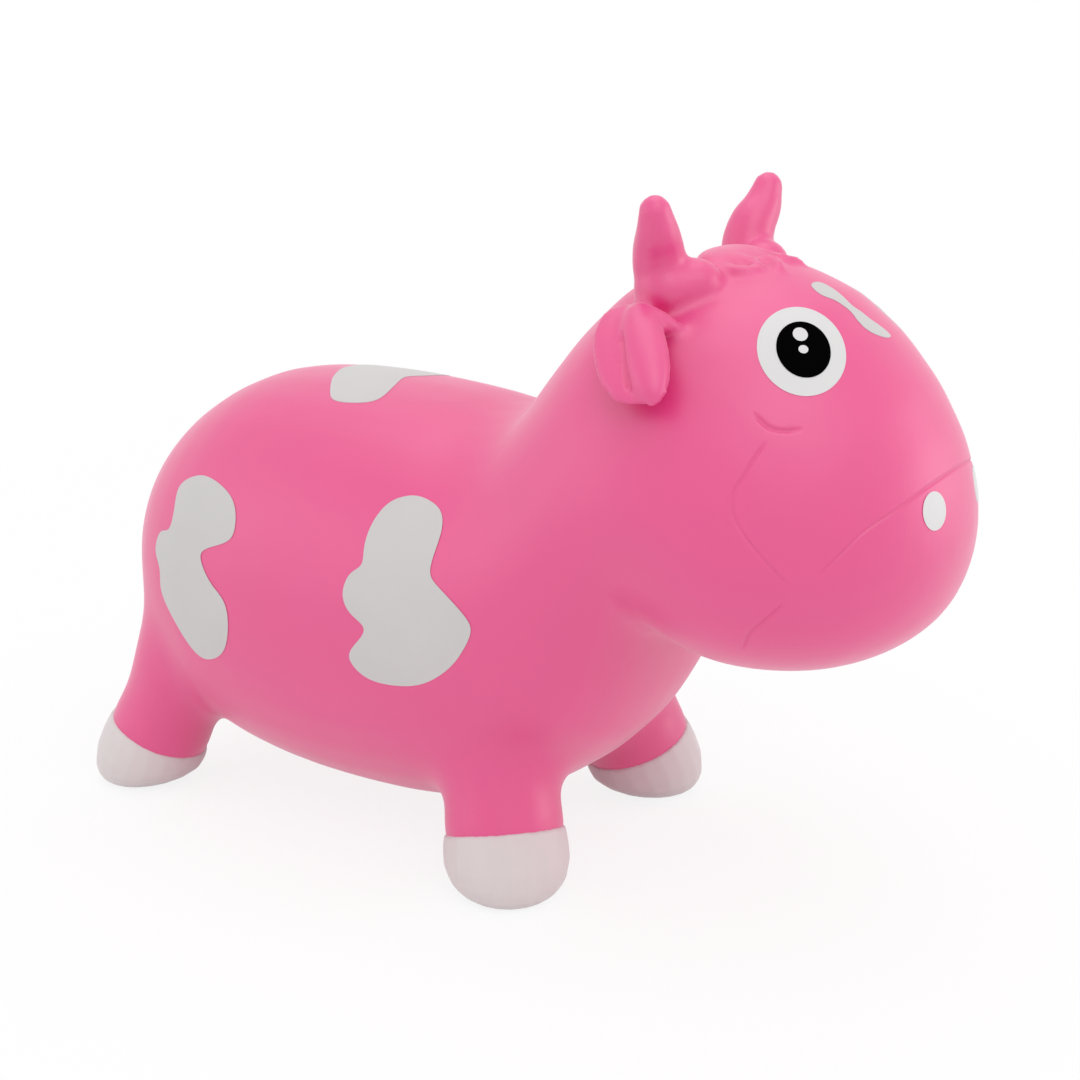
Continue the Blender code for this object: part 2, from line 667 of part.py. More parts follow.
def turned_piece(name, steps, collection=parts_collection):
    """A round piece about the valve's line, from steps of height over the skin and radius, innermost first."""
    rings = [circle(valve_face + valve_out * height, valve_out, radius) for height, radius in steps]
    return loft(name, rings, "flat", "flat", WHITE, collection)


flange_bottom = GAP - VALVE_RECESS
flange_top = flange_bottom + VALVE_FLANGE_THICKNESS
valve_pocket = turned_piece("valve_pocket", (
    (-MARK_REACH, VALVE_SLEEVE_RADIUS + GAP),
    (-VALVE_RECESS, VALVE_SLEEVE_RADIUS + GAP),
    (-VALVE_RECESS, VALVE_FLANGE_RADIUS + GAP),
    (MARK_REACH, VALVE_FLANGE_RADIUS + GAP),
), cutters_collection)
cut(torso_shell, valve_pocket)
valve_seat = turned_piece("valve_seat", (
    (-VALVE_SLEEVE_LENGTH, VALVE_SLEEVE_RADIUS),
    (flange_bottom, VALVE_SLEEVE_RADIUS),
    (flange_bottom, VALVE_FLANGE_RADIUS),
    (flange_top, VALVE_FLANGE_RADIUS),
))
valve_bore = turned_piece("valve_bore", (
    (-MARK_REACH, VALVE_BORE_RADIUS),
    (MARK_REACH, VALVE_BORE_RADIUS),
), cutters_collection)
cut(valve_seat, valve_bore)
valve_plug = turned_piece("valve_plug", (
    (flange_top - PLUG_SHANK_LENGTH, PLUG_SHANK_RADIUS),
    (flange_top + GAP, PLUG_SHANK_RADIUS),
    (flange_top + GAP, PLUG_HEAD_RADIUS),
    (flange_top + GAP + PLUG_HEAD_THICKNESS, PLUG_HEAD_RADIUS),
))
set_origin(valve_plug, valve_face)
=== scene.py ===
import json
import math

import bpy
from mathutils import Matrix, Vector
from mathutils.bvhtree import BVHTree
from mathutils.kdtree import KDTree

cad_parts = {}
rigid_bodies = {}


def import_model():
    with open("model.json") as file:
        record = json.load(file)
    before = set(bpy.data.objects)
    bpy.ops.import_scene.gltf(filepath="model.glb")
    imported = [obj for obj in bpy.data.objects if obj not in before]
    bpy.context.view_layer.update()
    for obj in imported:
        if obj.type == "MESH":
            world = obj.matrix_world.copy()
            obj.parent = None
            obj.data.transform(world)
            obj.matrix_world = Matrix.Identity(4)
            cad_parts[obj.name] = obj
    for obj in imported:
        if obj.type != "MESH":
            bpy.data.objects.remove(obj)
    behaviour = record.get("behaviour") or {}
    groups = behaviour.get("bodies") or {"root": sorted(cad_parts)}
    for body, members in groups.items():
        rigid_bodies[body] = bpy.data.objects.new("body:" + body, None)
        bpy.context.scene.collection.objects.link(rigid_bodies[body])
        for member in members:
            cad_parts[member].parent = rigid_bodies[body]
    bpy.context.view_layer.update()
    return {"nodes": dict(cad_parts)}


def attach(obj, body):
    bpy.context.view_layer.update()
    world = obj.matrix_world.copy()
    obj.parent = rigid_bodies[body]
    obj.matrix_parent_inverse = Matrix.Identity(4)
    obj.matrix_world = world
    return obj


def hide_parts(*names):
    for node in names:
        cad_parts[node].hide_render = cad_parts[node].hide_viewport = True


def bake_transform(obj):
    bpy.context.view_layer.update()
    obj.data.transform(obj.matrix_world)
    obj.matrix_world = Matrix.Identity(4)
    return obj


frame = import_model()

nodes = frame["nodes"]

# camera

photoView = {
    "target": Vector((0.0164, 0.0, 0.202)),
    "azimuth": math.radians(32.0),      # towards the cow's right side
    "drop": math.radians(17.1),         # looking down
    "distance": 1.2,
    "lens": 61.17,
    "sensor": 36.0,
    "pixels": 1080,
}


def addCamera():
    yaw = photoView["azimuth"]
    drop = photoView["drop"]
    forward = Vector((-math.sin(yaw) * math.cos(drop), math.cos(yaw) * math.cos(drop), -math.sin(drop)))
    place = photoView["target"] - forward * photoView["distance"]
    bpy.ops.object.camera_add(location=place)
    camera = bpy.context.object
    camera.name = "photoCamera"
    camera.rotation_euler = forward.to_track_quat("-Z", "Y").to_euler()
    camera.data.lens = photoView["lens"]
    camera.data.sensor_width = photoView["sensor"]
    bpy.context.scene.camera = camera
    bpy.context.view_layer.update()
    return camera


camera = addCamera()
print("camera stands at", tuple(round(value, 3) for value in camera.location))


def rayThrough(pixel):
    half = photoView["pixels"] / 2
    focal = photoView["lens"] / photoView["sensor"] * photoView["pixels"]
    across = (pixel[0] - half) / focal
    down = (pixel[1] - half) / focal
    return (camera.matrix_world.to_3x3() @ Vector((across, -down, -1.0))).normalized()


# small modelling helpers

softening = 0.5                  # how far one round of softening moves a point


def pickNothing():
    bpy.ops.object.select_all(action="DESELECT")


def pickOnly(*things):
    pickNothing()
    for thing in things:
        thing.select_set(True)
    bpy.context.view_layer.objects.active = things[0]


def inEditMode(thing, faceTest, *steps):
    # steps run in edit mode on the faces that pass the test
    pickOnly(thing)
    mesh = thing.data
    for group in (mesh.vertices, mesh.edges, mesh.polygons):
        group.foreach_set("select", [False] * len(group))
    for face in mesh.polygons:
        face.select = faceTest(face)
    bpy.ops.object.mode_set(mode="EDIT")
    bpy.ops.mesh.select_mode(type="FACE")
    for step in steps:
        step()
    bpy.ops.object.mode_set(mode="OBJECT")


def everyFace(face):
    return True


def applyModifier(thing, kind, **values):
    pickOnly(thing)
    added = thing.modifiers.new(kind.lower(), kind)
    for name, value in values.items():
        setattr(added, name, value)
    bpy.ops.object.modifier_apply(modifier=added.name)


def joined(name, *things):
    pickOnly(*things)
    bpy.ops.object.join()
    whole = bpy.context.object
    whole.name = name
    whole.data.name = name
    return whole


def copyOf(thing, name):
    copied = bpy.data.objects.new(name, thing.data.copy())
    copied.data.name = name
    bpy.context.scene.collection.objects.link(copied)
    return copied


def nodeCopy(name, *nodeNames):
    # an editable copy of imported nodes, which stay as they are
    copies = [copyOf(nodes[nodeName], name) for nodeName in nodeNames]
    for copied in copies:
        copied.data.materials.clear()
    return joined(name, *copies)


def shadeSmooth(thing):
    for face in thing.data.polygons:
        face.use_smooth = True


def treeOf(thing):
    return BVHTree.FromPolygons(
        [vertex.co for vertex in thing.data.vertices],
        [tuple(face.vertices) for face in thing.data.polygons],
    )


def applyWeighted(thing, kind, weightOf, **values):
    # a modifier that works as much as the weight at each place says
    group = thing.vertex_groups.new(name=kind.lower())
    for vertex in thing.data.vertices:
        weight = weightOf(vertex.co)
        if weight > 0:
            group.add([vertex.index], weight, "REPLACE")
    applyModifier(thing, kind, vertex_group=group.name, **values)
    thing.vertex_groups.clear()


def soften(thing, repeats):
    applyModifier(thing, "SMOOTH", factor=softening, iterations=repeats)


def softenWhere(thing, weightOf, repeats):
    applyWeighted(thing, "SMOOTH", weightOf, factor=softening, iterations=repeats)


def eased(share):
    return share * share * (3 - 2 * share)


def nearJoin(firstTree, secondTree, reach):
    # 1 where two surfaces meet, falling to 0 at the reach from both
    def weight(place):
        away = 0.0
        for tree in (firstTree, secondTree):
            away = max(away, tree.find_nearest(place)[3])
        return eased(max(0.0, 1.0 - away / reach))
    return weight


def mirrored(place):
    return Vector((place[0], -place[1], place[2]))


def onSide(place, side):
    # places are written for the right side, where y is negative
    return place.copy() if side < 0 else mirrored(place)


def smoothLine(points, steps, closed=False):
    # Catmull-Rom line through the points
    count = len(points)
    line = []
    for i in range(count if closed else count - 1):
        around = [i + step for step in (-1, 0, 1, 2)]
        around = [place % count if closed else min(max(place, 0), count - 1) for place in around]
        before, here, after, beyond = [points[place] for place in around]
        for step in range(steps):
            t = step / steps
            line.append(0.5 * (
                2 * here + (after - before) * t
                + (2 * before - 5 * here + 4 * after - beyond) * t * t
                + (3 * here - before - 3 * after + beyond) * t * t * t
            ))
    if not closed:
        line.append(points[-1])
    return line


def softTube(name, path, radii, steps=6, sides=6, ballEnds=True):
    # a round tube along a smooth path, thick or thin where the radii say
    stations = [Vector((*place, radius)) for place, radius in zip(path, radii)]
    stations = smoothLine(stations, steps)
    pickNothing()
    bpy.ops.curve.primitive_nurbs_path_add()
    curve = bpy.context.object
    curve.data.splines.clear()
    spline = curve.data.splines.new("POLY")
    spline.points.add(len(stations) - 1)
    for point, station in zip(spline.points, stations):
        point.co = (*station[:3], 1.0)
        point.radius = station[3]
    curve.data.bevel_depth = 1.0
    curve.data.bevel_resolution = sides
    curve.data.use_fill_caps = True
    bpy.ops.object.convert(target="MESH")
    tube = bpy.context.object
    inEditMode(tube, everyFace, lambda: bpy.ops.mesh.remove_doubles(threshold=0.00001))
    parts = [tube]
    for station in (stations[0], stations[-1]) if ballEnds else ():
        bpy.ops.mesh.primitive_uv_sphere_add(segments=32, ring_count=16, radius=station[3], location=station[:3])
        bpy.ops.object.transform_apply(location=True, rotation=False, scale=False)
        parts.append(bpy.context.object)
    return joined(name, *parts)


def voxelSkin(thing, size):
    applyModifier(thing, "REMESH", mode="VOXEL", voxel_size=size)


# trunk: the outer wall of the torso, neck and head, closed over the leg holes

trunkSizes = {
    "spine": (Vector((-0.220, 0.0, 0.168)), Vector((0.040, 0.0, 0.185)), Vector((0.110, 0.0, 0.255)),
              Vector((0.160, 0.0, 0.270)), Vector((0.235, 0.0, 0.235))),
    "merge": 0.0006,
    "sliver": 0.0001,
    "outward": 0.3,              # faces that lean out less are the inner wall and the rims
}


def nearestOnSpine(place):
    best = None
    for start, end in zip(trunkSizes["spine"], trunkSizes["spine"][1:]):
        along = end - start
        share = min(max((place - start).dot(along) / along.length_squared, 0.0), 1.0)
        point = start + along * share
        if best is None or (place - point).length < (place - best).length:
            best = point
    return best


def isInnerOrRim(face):
    outwards = (face.center - nearestOnSpine(face.center)).normalized()
    return face.normal.dot(outwards) < trunkSizes["outward"]


def buildTrunk():
    trunk = nodeCopy("trunkCage", "torso_shell", "neck_shell", "head_shell")
    inEditMode(trunk, everyFace, lambda: bpy.ops.mesh.remove_doubles(threshold=trunkSizes["merge"]))
    inEditMode(trunk, isInnerOrRim, lambda: bpy.ops.mesh.delete(type="FACE"))
    pickOnly(trunk)
    bpy.ops.object.mode_set(mode="EDIT")
    bpy.ops.mesh.select_all(action="SELECT")
    bpy.ops.mesh.separate(type="LOOSE")
    bpy.ops.object.mode_set(mode="OBJECT")
    pieces = sorted(bpy.context.selected_objects, key=lambda piece: len(piece.data.vertices))
    trunk = pieces.pop()
    for scrap in pieces:
        bpy.data.objects.remove(scrap)
    inEditMode(
        trunk, everyFace,
        lambda: bpy.ops.mesh.dissolve_degenerate(threshold=trunkSizes["sliver"]),
        lambda: bpy.ops.mesh.fill_holes(sides=0),
        lambda: bpy.ops.mesh.select_mode(type="EDGE"),
        lambda: bpy.ops.mesh.select_all(action="DESELECT"),
        lambda: bpy.ops.mesh.select_non_manifold(extend=False),
        lambda: bpy.ops.mesh.fill(),
        lambda: bpy.ops.mesh.select_all(action="SELECT"),
        lambda: bpy.ops.mesh.quads_convert_to_tris(),
    )
    return trunk


# legs: short cones that lean out of the trunk and end inside the hooves

legSizes = {
    "front": {"foot": (0.0534, 0.096), "lean": (-0.27, 0.28), "radius": 0.0380},
    "rear": {"foot": (-0.2706, 0.088), "lean": (0.42, 0.20), "radius": 0.0355},
    "heights": (0.022, 0.036, 0.049, 0.062, 0.077, 0.092, 0.109, 0.140),
    "widths": (0.90, 1.00, 0.97, 0.96, 1.02, 1.10, 1.20, 1.24),
}


def buildLeg(end, side):
    size = legSizes[end]
    path = []
    for height in legSizes["heights"]:
        lean = Vector((size["lean"][0], -side * size["lean"][1], 1.0)) * height
        path.append(Vector((size["foot"][0], side * size["foot"][1], 0.0)) + lean)
    radii = [size["radius"] * width for width in legSizes["widths"]]
    return softTube("legCage", path, radii, steps=2, sides=14, ballEnds=False)


# body: trunk and legs in one skin, with soft fillets

skinSizes = {
    "coarseVoxel": 0.004,
    "fineVoxel": 0.0024,
    "facetRepeats": 30,          # softening of the whole trunk, against its flat facets
    "grow": 0.0010,              # gives back what softening takes
    "legReach": 0.026,
    "legRepeats": 70,
    "voxelRepeats": 4,
    "joins": {"horn": (0.0050, 8), "ear": (0.0075, 22)},      # reach and softening of their fillets
    "fineReach": {"horn": 0.030, "ear": 0.040, "hair": 0.034},      # where the faces are smaller
    "fineRepeats": 5,
    "tipReach": 0.018,           # round the free ends of horns and ears
    "tipRepeats": 12,
    "hairRepeats": 6,
}


def buildBody():
    trunk = buildTrunk()
    legs = [buildLeg(end, side) for end in ("front", "rear") for side in (-1, 1)]
    trunkTree = treeOf(trunk)
    legTrees = [treeOf(leg) for leg in legs]
    body = joined("bodyCage", trunk, *legs)
    voxelSkin(body, skinSizes["coarseVoxel"])
    soften(body, skinSizes["facetRepeats"])
    fillets = [nearJoin(trunkTree, legTree, skinSizes["legReach"]) for legTree in legTrees]
    softenWhere(body, lambda place: max(weight(place) for weight in fillets), skinSizes["legRepeats"])
    applyModifier(body, "DISPLACE", strength=skinSizes["grow"], mid_level=0.0)
    return body


body = buildBody()
print("body skin has", len(body.data.polygons), "faces")

# the head sinks a little round the foot of each horn

hornFoot = {"place": (0.149, 0.052, 0.388), "reach": 0.060, "depth": 0.0030}


def sinkRoundHorns(thing):
    foot = Vector(hornFoot["place"])

    def nearFoot(place):
        away = (Vector((place.x, abs(place.y), place.z)) - foot).length
        return eased(max(0.0, 1.0 - away / hornFoot["reach"]))

    applyWeighted(thing, "DISPLACE", nearFoot, strength=-hornFoot["depth"], mid_level=0.0)


sinkRoundHorns(body)

# horns: a thick root that lies on the head and points forward, and a blunt tip that rises from its back end

hornSizes = {
    "rootPath": ((0.1486, -0.0450, 0.3872), (0.1418, -0.0512, 0.3860), (0.1352, -0.0564, 0.3850)),
    "rootRadii": (0.0153, 0.0166, 0.0180),
    "path": ((0.1347, -0.0527, 0.3868), (0.1318, -0.0562, 0.3975), (0.1328, -0.0608, 0.4090),
             (0.1355, -0.0673, 0.4190), (0.1367, -0.0729, 0.4310)),
    "radii": (0.0170, 0.0160, 0.0147, 0.0124, 0.0093),
    "split": Vector((0.1322, -0.0570, 0.4035)),      # where the bending tip parts from the head
    "along": Vector((0.020, -0.270, 0.960)).normalized(),
    "bend": 0.030,               # length over which it bends
    "cutReach": 0.060,
}


def buildHorn(side):
    parts = []
    for name, path, radii in (
        ("hornRootCage", hornSizes["rootPath"], hornSizes["rootRadii"]),
        ("hornTipCage", hornSizes["path"], hornSizes["radii"]),
    ):
        points = [onSide(Vector(place), side) for place in path]
        parts.append(softTube(name, points, radii))
    return joined("hornCage", *parts)


# ears: two lobes side by side with a fold between them, held at the top and free below

earSizes = {
    "down": Vector((0.4876, -0.5657, -0.6654)).normalized(),
    "back": Vector((-0.96, -0.28, 0.0)),
    "fullness": 2.15,            # 2 is an ellipsoid, more is squarer
    "tipShare": 0.7,             # where the rounded end of a lobe lies, from its middle
    "lobes": (                   # middle, half length, half width, thickness outside and inside
        (Vector((0.1494, -0.1040, 0.3565)), 0.0352, 0.0132, 0.0115, 0.0030),
        (Vector((0.1387, -0.1035, 0.3554)), 0.0352, 0.0205, 0.0062, 0.0030),
    ),
    "ridge": ((0.1360, -0.0867, 0.3759), (0.1448, -0.0842, 0.3730), (0.1510, -0.0804, 0.3691),
              (0.1552, -0.0708, 0.3634)),
    "ridgeRadii": (0.0066, 0.0062, 0.0054, 0.0044),
    "stem": ((0.1239, -0.0645, 0.3662), (0.1347, -0.0875, 0.3691)),
    "stemRadius": 0.0105,
    "split": Vector((0.1415, -0.0984, 0.3613)),      # where the free flap parts from the head
    "bend": 0.044,               # length over which it bends
    "cutReach": 0.060,
}


def earAxes(side):
    down = earSizes["down"]
    back = (earSizes["back"] - down * earSizes["back"].dot(down)).normalized()
    return [onSide(axis, side) for axis in (down, back, back.cross(down))]


def buildEar(side):
    down, back, out = earAxes(side)
    power = earSizes["fullness"]
    pieces = []
    for middle, length, width, outer, inner in earSizes["lobes"]:
        bpy.ops.mesh.primitive_uv_sphere_add(segments=48, ring_count=24, radius=1.0)
        lobe = bpy.context.object
        for vertex in lobe.data.vertices:
            along, across, away = vertex.co / sum(abs(value) ** power for value in vertex.co) ** (1 / power)
            thickness = outer if away > 0 else inner
            vertex.co = onSide(middle, side) + down * length * along + back * width * across
            vertex.co += out * thickness * away
        inEditMode(lobe, everyFace, lambda: bpy.ops.mesh.normals_make_consistent(inside=False))
        pieces.append(lobe)
    ridge = [onSide(Vector(place), side) for place in earSizes["ridge"]]
    pieces.append(softTube("earRidge", ridge, earSizes["ridgeRadii"]))
    stem = [onSide(Vector(place), side) for place in earSizes["stem"]]
    pieces.append(softTube("earStem", stem, [earSizes["stemRadius"]] * 2))
    return joined("earCage", *pieces)


# hair: a low pad between the horns, with a few locks that lie across it

hairSizes = {
    "pad": ((0.149, 0.0, 0.3972), (0.018, 0.030, 0.0066)),      # middle, half sizes
    "locks": (                   # lines seen in the photograph's view, with radii
        (((708, 268), (718, 270), (731, 272), (745, 273), (757, 271)), (0.0030, 0.0036, 0.0038, 0.0036, 0.0028)),
        (((712, 261), (724, 261), (738, 262), (750, 264), (759, 268)), (0.0030, 0.0036, 0.0036, 0.0032, 0.0026)),
        (((762, 262), (770, 262), (777, 265), (779, 270)), (0.0030, 0.0034, 0.0034, 0.0026)),
    ),
    "raised": 0.0016,
}


def buildHair(headTree):
    middle, halves = hairSizes["pad"]
    bpy.ops.mesh.primitive_uv_sphere_add(segments=48, ring_count=24, radius=1.0)
    pad = bpy.context.object
    for vertex in pad.data.vertices:
        vertex.co = Vector(middle) + Vector([value * half for value, half in zip(vertex.co, halves)])
    locks = [pad]
    for pixels, radii in hairSizes["locks"]:
        path = []
        for pixel in pixels:
            place, normal = headTree.ray_cast(camera.location, rayThrough(pixel))[:2]
            path.append(place + normal * hairSizes["raised"])
        for side in (-1, 1):
            locks.append(softTube("hairLock", [onSide(place, side) for place in path], radii))
    return joined("hairCage", *locks)


def finestSkin():
    bodyTree = treeOf(body)
    parts = [buildHorn(-1), buildHorn(1), buildEar(-1), buildEar(1), buildHair(bodyTree)]
    trees = [treeOf(part) for part in parts]
    skin = joined("skin", body, *parts)
    voxelSkin(skin, skinSizes["fineVoxel"])
    soften(skin, skinSizes["voxelRepeats"])
    for name, pair in (("horn", trees[0:2]), ("ear", trees[2:4])):
        reach, repeats = skinSizes["joins"][name]
        fillets = [nearJoin(bodyTree, tree, reach) for tree in pair]
        softenWhere(skin, lambda place: max(weight(place) for weight in fillets), repeats)
    middles = {
        "horn": Vector(hornSizes["path"][2]),
        "ear": earSizes["lobes"][1][0],
        "hair": Vector(hairSizes["pad"][0]),
    }

    def isFine(face):
        place = Vector((face.center.x, -abs(face.center.y), face.center.z))
        return any((place - middle).length < skinSizes["fineReach"][name] for name, middle in middles.items())

    inEditMode(
        skin, isFine,
        lambda: bpy.ops.mesh.subdivide(number_cuts=1, smoothness=0.0),
        lambda: bpy.ops.mesh.vertices_smooth(factor=softening, repeat=skinSizes["fineRepeats"]),
    )
    tips = [Vector(hornSizes["path"][-1])]
    for middle, length, *rest in earSizes["lobes"]:
        tips.append(middle + earSizes["down"] * length * earSizes["tipShare"])

    def nearnessTo(centres, reach):
        # 1 in the inner half of the reach, falling to 0 at its end
        def weight(place):
            place = Vector((place.x, -abs(place.y), place.z))
            share = 1.0 - min((place - centre).length for centre in centres) / reach
            return min(1.0, max(0.0, 2 * share))
        return weight

    softenWhere(skin, nearnessTo(tips, skinSizes["tipReach"]), skinSizes["tipRepeats"])
    softenWhere(skin, nearnessTo([middles["hair"]], skinSizes["fineReach"]["hair"]), skinSizes["hairRepeats"])
    return skin


skin = finestSkin()
print("whole skin has", len(skin.data.polygons), "faces")

# lines pressed into the face: smile, cheek, muzzle and chin

faceLines = {
    "smile": ((752, 412), (760, 420), (770, 428), (785, 431), (804, 429)),
    "cheek": ((767, 441), (754, 459), (743, 478), (734, 493), (734, 516), (745, 537), (762, 558), (791, 588)),
    "muzzle": ((815, 579), (846, 549), (865, 531), (896, 510), (925, 489), (950, 472)),
    "chin": ((787, 601), (762, 623), (749, 635), (742, 650)),
    "earFold": ((621, 331), (622.5, 350), (624, 365), (627, 381), (631, 396)),
    "widths": {"smile": 0.0016, "cheek": 0.0011, "muzzle": 0.0011, "chin": 0.0012, "earFold": 0.0024},
    "depths": {"smile": 0.0012, "cheek": 0.0008, "muzzle": 0.0008, "chin": 0.0010, "earFold": 0.0023},
    "fade": 0.006,               # length over which a line starts and ends
    "spacing": 0.0004,
    "steps": 24,                 # of the curve between two pixels
    "steepness": 1.6,            # of the walls of a line
    "fineReach": 0.0034,         # the faces round a line are split
    "fineCuts": 3,
    "fineRepeats": 2,
}


def hitPlace(tree, pixel):
    return tree.ray_cast(camera.location, rayThrough(pixel))[0]


def evenLine(points, spacing):
    line = smoothLine(points, faceLines["steps"])
    even = [line[0]]
    left = spacing
    for start, end in zip(line, line[1:]):
        length = (end - start).length
        while left <= length and length > 0:
            even.append(start.lerp(end, left / length))
            left += spacing
        left -= length
    return even


def pressLines(thing):
    tree = treeOf(thing)
    marks = []                   # place, width and depth at each step of each line
    for name in faceLines["widths"]:
        points = [hitPlace(tree, pixel) for pixel in faceLines[name]]
        sides = [points, [mirrored(point) for point in points]]
        if name == "muzzle":                     # runs on over the nose to the other side
            sides = [points + [mirrored(point) for point in reversed(points)]]
        for points in sides:
            line = evenLine(points, faceLines["spacing"])
            for i, point in enumerate(line):
                ends = min(i, len(line) - 1 - i) * faceLines["spacing"] / faceLines["fade"]
                place = tree.find_nearest(point)[0]
                marks.append((place, faceLines["widths"][name], faceLines["depths"][name] * min(1.0, ends)))
    places = KDTree(len(marks))
    for i, mark in enumerate(marks):
        places.insert(mark[0], i)
    places.balance()
    nearest = [places.find(face.center)[2] for face in thing.data.polygons]
    inEditMode(
        thing, lambda face: nearest[face.index] < faceLines["fineReach"],
        lambda: bpy.ops.mesh.subdivide(number_cuts=faceLines["fineCuts"], smoothness=0.0),
        lambda: bpy.ops.mesh.vertices_smooth(factor=softening, repeat=faceLines["fineRepeats"]),
    )
    deepest = max(faceLines["depths"].values())

    def pressed(place):
        index, away = places.find(place)[1:]
        width, depth = marks[index][1:]
        if away >= width * 2:
            return 0.0
        return depth / deepest * math.exp(-(away / width) ** 2 * faceLines["steepness"])

    applyWeighted(thing, "DISPLACE", pressed, strength=-deepest, mid_level=0.0)


pressLines(skin)
print("with its lines the skin has", len(skin.data.polygons), "faces")

# painted marks: thin films on the skin, cut to their outlines

paint = {
    "under": 0.0006,             # how far a film reaches into the skin
    "margin": 0.006,
    "steps": 6,                  # of the curve between two points of an outline
    "rounding": 5,               # how often the corners of an outline are rounded
    "reach": 0.070,              # how far an outline is pushed through the skin, each way
    "lifts": (0.00035, 0.00060, 0.00085),      # height of the first, second and third coat
    "roundPoints": 16,
    "rounds": {                  # ellipses of the face in pixels: middle, half axes, turn
        "eyeWhite": ((801.5, 351.5), (47.3, 42.3), 45.0),
        "eyePupil": ((803.5, 349.5), (29.6, 26.0), 51.0),
        "largeGlint": ((800.3, 334.2), (7.8, 6.5), 25.0),
        "smallGlint": ((803.4, 349.2), (5.0, 4.1), 15.0),
        "nostril": ((934.5, 511.0), (11.6, 19.8), 0.0),
    },
    "flank": ((412, 495), (389, 502), (372, 523), (364, 546), (362, 565), (349, 574), (342, 594), (349, 613),
              (366, 630), (349, 651), (353, 666), (370, 680), (397, 686), (424, 684), (450, 668), (466, 645),
              (471, 628), (462, 613), (443, 592), (430, 576), (433, 557), (442, 530), (441, 511), (429, 500)),
    "haunch": ((198, 475), (179, 485), (174, 511), (169, 530), (160, 531), (155, 550), (160, 569), (161, 592),
               (175, 622), (192, 649), (207, 660), (223, 653), (228, 630), (225, 603), (211, 584), (202, 565),
               (202, 550), (228, 542), (235, 527), (235, 507), (228, 492), (213, 479)),
    "back": ((-0.143, 0.000), (-0.134, -0.021), (-0.128, -0.031), (-0.121, -0.041), (-0.111, -0.0515),
             (-0.094, -0.0510), (-0.080, -0.043), (-0.083, -0.022), (-0.090, 0.000), (-0.083, 0.0115),
             (-0.079, 0.029), (-0.083, 0.043), (-0.095, 0.050), (-0.112, 0.0465), (-0.122, 0.0405),
             (-0.137, 0.0325), (-0.143, 0.028), (-0.145, 0.0145)),
    "forehead": ((810.5, 284.5), (818, 282), (827, 285.5), (837, 292), (844, 298), (852, 306), (861, 312),
                 (869, 318.5), (877.5, 324.5), (886, 331), (891, 336.5), (886, 338), (875, 334.5), (865, 328.5),
                 (856.5, 319.5), (851, 312), (842, 305), (834, 300), (824, 296.5), (815.5, 291)),
}


def roundOutline(key):
    middle, halves, turn = paint["rounds"][key]
    turn = math.radians(turn)
    outline = []
    for step in range(paint["roundPoints"]):
        angle = math.tau * step / paint["roundPoints"]
        across, down = halves[0] * math.cos(angle), halves[1] * math.sin(angle)
        outline.append((middle[0] + across * math.cos(turn) - down * math.sin(turn),
                        middle[1] + across * math.sin(turn) + down * math.cos(turn)))
    return outline


def paintFilm(name, source, outline, facing, lift):
    # the outline is pushed through a thickened copy of the skin under it
    line = smoothLine(outline, paint["steps"], closed=True)
    for again in range(paint["rounding"]):
        line = [(line[i - 1] + 2 * line[i] + line[(i + 1) % len(line)]) / 4 for i in range(len(line))]
    centre = sum(line, Vector()) / len(line)
    widest = max((point - centre).length for point in line) + paint["margin"]
    film = copyOf(source, name)
    inEditMode(
        film, lambda face: (face.center - centre).length > widest or face.normal.dot(facing) < 0,
        lambda: bpy.ops.mesh.delete(type="FACE"),
    )
    thickness = lift + paint["under"]
    applyModifier(film, "SOLIDIFY", thickness=thickness, offset=2 * lift / thickness - 1)
    pickNothing()
    bpy.ops.mesh.primitive_circle_add(vertices=len(line), radius=1.0, fill_type="NGON")
    cutter = bpy.context.object
    for vertex, point in zip(cutter.data.vertices, line):
        vertex.co = point - facing * ((point - centre).dot(facing) - paint["reach"])
    inEditMode(
        cutter, everyFace,
        lambda: bpy.ops.mesh.extrude_region_move(
            TRANSFORM_OT_translate={"value": tuple(facing * (-2 * paint["reach"]))}),
        lambda: bpy.ops.mesh.select_all(action="SELECT"),
        lambda: bpy.ops.mesh.normals_make_consistent(inside=False),
    )
    applyModifier(film, "BOOLEAN", operation="INTERSECT", solver="EXACT", object=cutter)
    bpy.data.objects.remove(cutter)
    return film


def mirroredCopy(name, film):
    other = copyOf(film, name)
    other.data.transform(Matrix.Scale(-1, 4, (0, 1, 0)))
    inEditMode(other, everyFace, lambda: bpy.ops.mesh.flip_normals())
    return other


